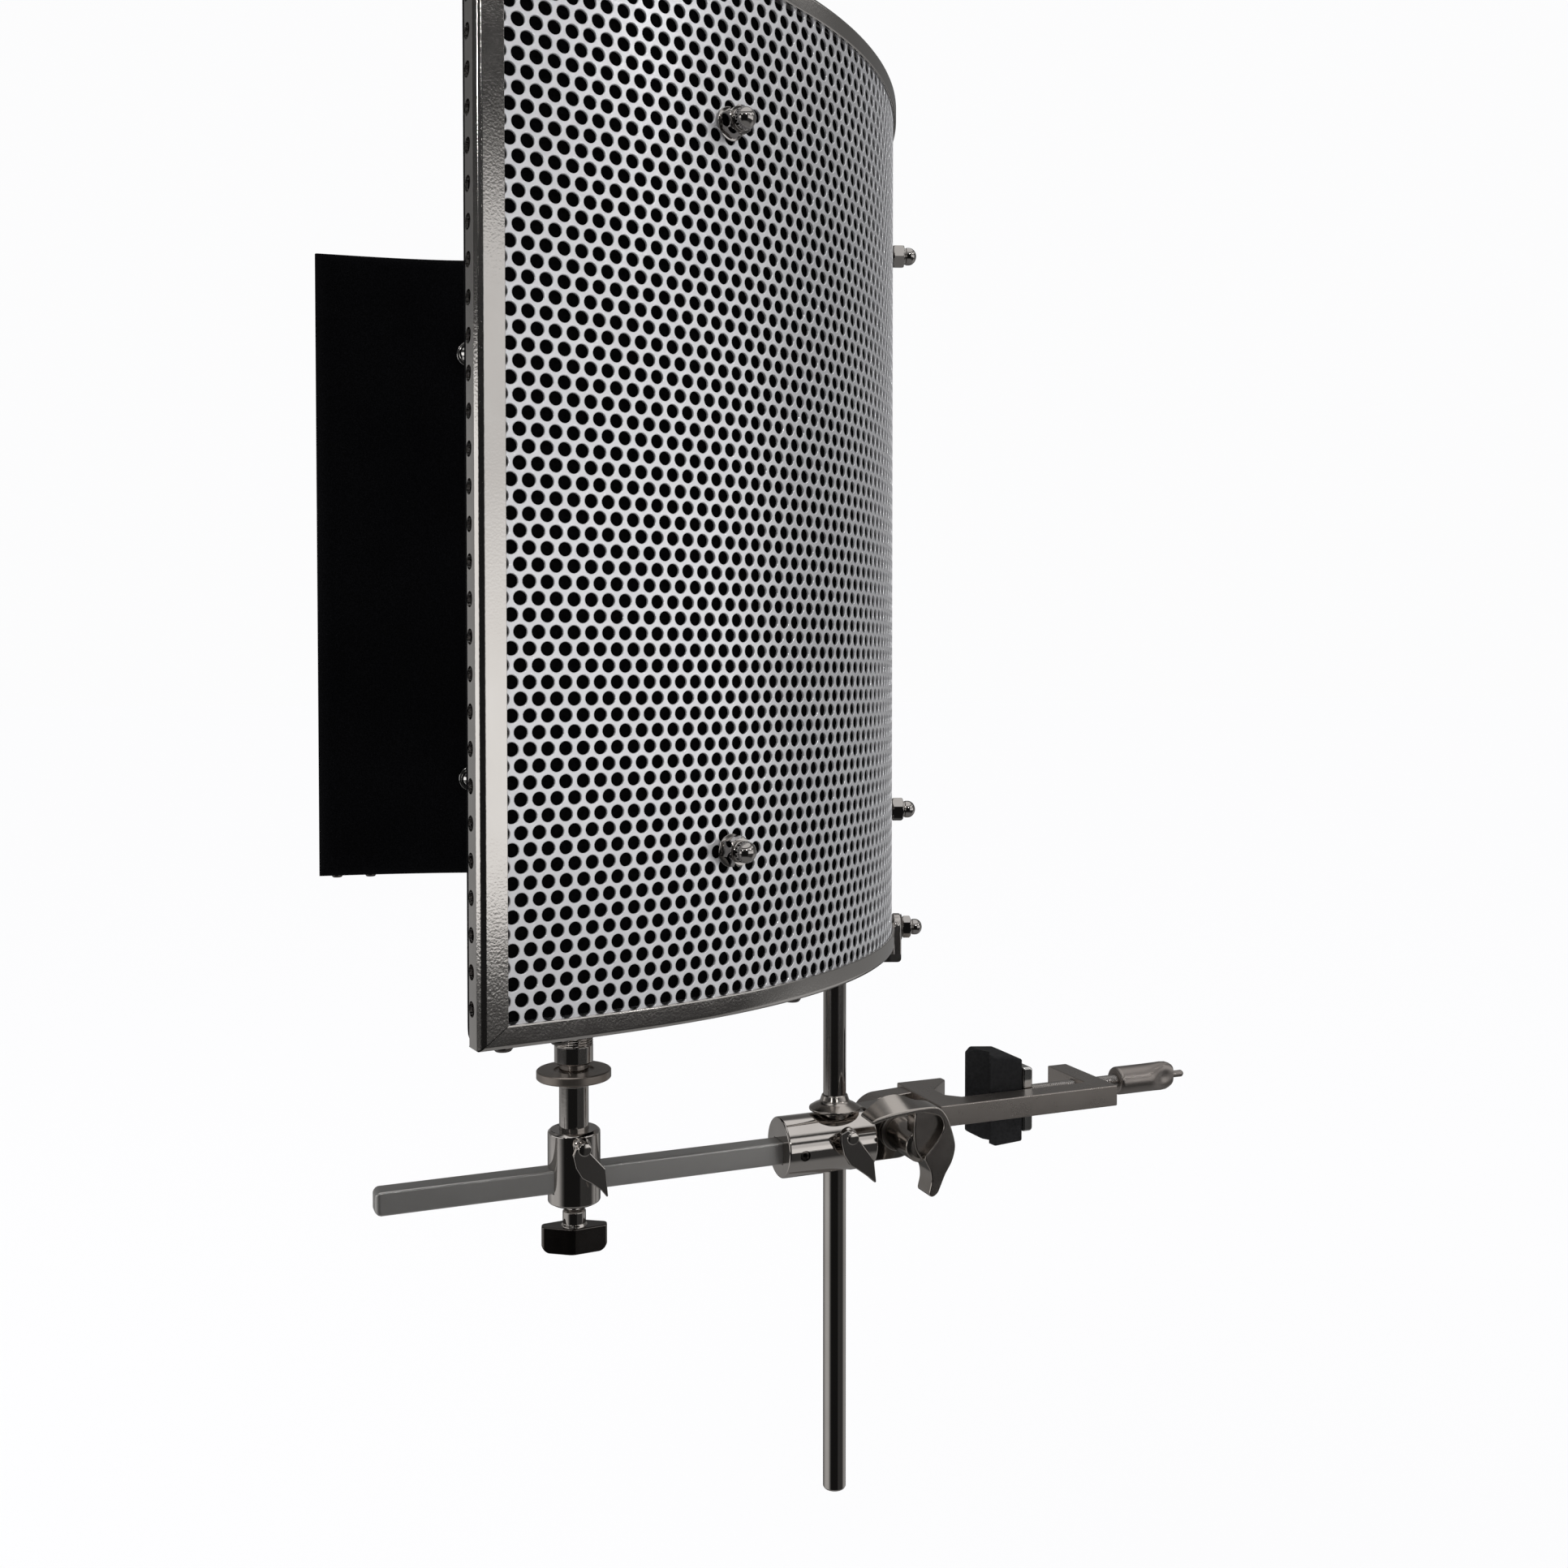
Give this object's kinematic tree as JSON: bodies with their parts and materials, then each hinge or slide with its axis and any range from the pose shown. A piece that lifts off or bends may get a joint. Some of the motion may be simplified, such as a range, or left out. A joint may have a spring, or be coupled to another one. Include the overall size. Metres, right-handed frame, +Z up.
{
  "type": "microphone isolation shield",
  "caption": "Curved perforated metal screen lined with foam, carried on a rod that clamps to a stand, with a sliding microphone post and tilt joint.",
  "frame": {"origin": "centre of the flat land of the stand clamp's fixed jaw, where the stand tube bears", "axes": "+Y from the fixed jaw towards the moving jaw and handle (away from the open mouth of the shield), +Z up along the rod, +X towards the closed side of the C clamp"},
  "size_m": [0.4066, 0.3816, 0.566],
  "materials": {
    "perforated_sheet": "satin, perforated with round holes",
    "channel_trim": "polished dark nickel plate with fine orange peel",
    "foam": "matte open-cell foam",
    "wool": "matte black felt",
    "foil": "bright foil",
    "polished_nickel": "polished dark nickel",
    "satin_nickel": "satin nickel",
    "black_nickel": "polished black nickel",
    "rubber": "matte black rubber"
  },
  "bodies": {
    "stand_clamp": {"clamp_frame": "satin_nickel", "tilt_bolt": "polished_nickel", "tilt_washer": "satin_nickel"},
    "jaw": {"jaw_plate": "satin_nickel", "jaw_pad": "rubber"},
    "clamp_screw": {"clamp_screw": "satin_nickel", "clamp_handle": "satin_nickel"},
    "tilt_nut": {"tilt_wing_nut": "polished_nickel"},
    "cradle": {"rod_clamp_boss": "polished_nickel", "rod_bushing": "polished_nickel", "bar_grub_screw": "black_nickel", "square_bar": "satin_nickel"},
    "rod": {"support_rod": "polished_nickel"},
    "shield": {"outer_sheet": "perforated_sheet", "outer_wool": "wool", "foil_layer": "foil", "inner_wool": "wool", "inner_sheet": "perforated_sheet", "foam_lining": "foam", "top_channel": "channel_trim", "bottom_channel": "channel_trim", "end_channel_right": "channel_trim", "end_channel_left": "channel_trim", "through_bolt_1": "polished_nickel", "through_bolt_2": "polished_nickel", "through_bolt_3": "polished_nickel", "through_bolt_4": "polished_nickel", "through_bolt_5": "polished_nickel", "through_bolt_6": "polished_nickel", "through_bolt_7": "polished_nickel", "through_bolt_8": "polished_nickel", "cap_nut_1": "polished_nickel", "cap_nut_2": "polished_nickel", "cap_nut_3": "polished_nickel", "cap_nut_4": "polished_nickel", "cap_nut_5": "polished_nickel", "cap_nut_6": "polished_nickel", "cap_nut_7": "polished_nickel", "cap_nut_8": "polished_nickel", "rim_screw_1": "black_nickel", "rim_screw_2": "black_nickel", "rim_screw_3": "black_nickel", "rim_screw_4": "black_nickel", "rim_screw_5": "black_nickel", "rim_screw_6": "black_nickel", "rod_bracket": "satin_nickel", "bracket_nut_1": "polished_nickel", "bracket_nut_2": "polished_nickel", "rod_top_nut": "satin_nickel"},
    "rod_screw": {"rod_thumb_screw": "polished_nickel"},
    "mic_carriage": {"mic_post_block": "polished_nickel"},
    "mic_neck": {"mic_post_neck": "polished_nickel"},
    "mic_head": {"mic_seat_disc": "polished_nickel", "mic_thread_stud": "polished_nickel"},
    "mic_screw": {"mic_thumb_screw": "polished_nickel"},
    "mic_knob": {"mic_lock_knob": "black_nickel"}
  },
  "joints": [
    {"name": "clamp_screw_turn", "type": "hinge", "parent": "jaw", "child": "clamp_screw", "pos_m": [0, 0.074, 0], "axis": [0, 1, 0], "range_deg": [-3740, 7880]},
    {"name": "jaw_travel", "type": "slide", "parent": "stand_clamp", "child": "jaw", "axis": [0, 1, 0], "range_m": [-0.0105, 0.022]},
    {"name": "tilt", "type": "hinge", "parent": "stand_clamp", "child": "cradle", "pos_m": [0, -0.024, -0.009], "axis": [1, 0, 0], "range_deg": [-14, 20]},
    {"name": "tilt_nut_turn", "type": "hinge", "parent": "stand_clamp", "child": "tilt_nut", "pos_m": [0.02, -0.024, -0.009], "axis": [1, 0, 0], "range_deg": [-30, 360]},
    {"name": "rod_height", "type": "slide", "parent": "cradle", "child": "rod", "axis": [0, 0, 1], "range_m": [-0.04, 0.125]},
    {"name": "shield_swivel", "type": "hinge", "parent": "rod", "child": "shield", "pos_m": [0, -0.0515, 0.031], "axis": [0, 0, 1], "continuous": true},
    {"name": "rod_screw_turn", "type": "hinge", "parent": "cradle", "child": "rod_screw", "pos_m": [0.016, -0.0515, -0.0055], "axis": [1, 0, 0], "range_deg": [-180, 15]},
    {"name": "mic_slide", "type": "slide", "parent": "cradle", "child": "mic_carriage", "axis": [0, 1, 0], "range_m": [-0.066, 0.07]},
    {"name": "mic_height", "type": "slide", "parent": "mic_carriage", "child": "mic_neck", "axis": [0, 0, 1], "range_m": [0, 0.008]},
    {"name": "mic_head_turn", "type": "hinge", "parent": "mic_neck", "child": "mic_head", "pos_m": [0, -0.1682, 0.031], "axis": [0, 0, 1], "continuous": true},
    {"name": "mic_screw_turn", "type": "hinge", "parent": "mic_carriage", "child": "mic_screw", "pos_m": [0.014, -0.1682, 0.0028], "axis": [1, 0, 0], "range_deg": [-150, 55]},
    {"name": "mic_knob_turn", "type": "hinge", "parent": "mic_carriage", "child": "mic_knob", "pos_m": [0, -0.1682, -0.029], "axis": [0, 0, 1], "range_deg": [-360, 60]}
  ],
  "couplings": [
    {"joint": "jaw_travel", "follows": "clamp_screw_turn", "m_per_rad": 0.00015915}
  ]
}
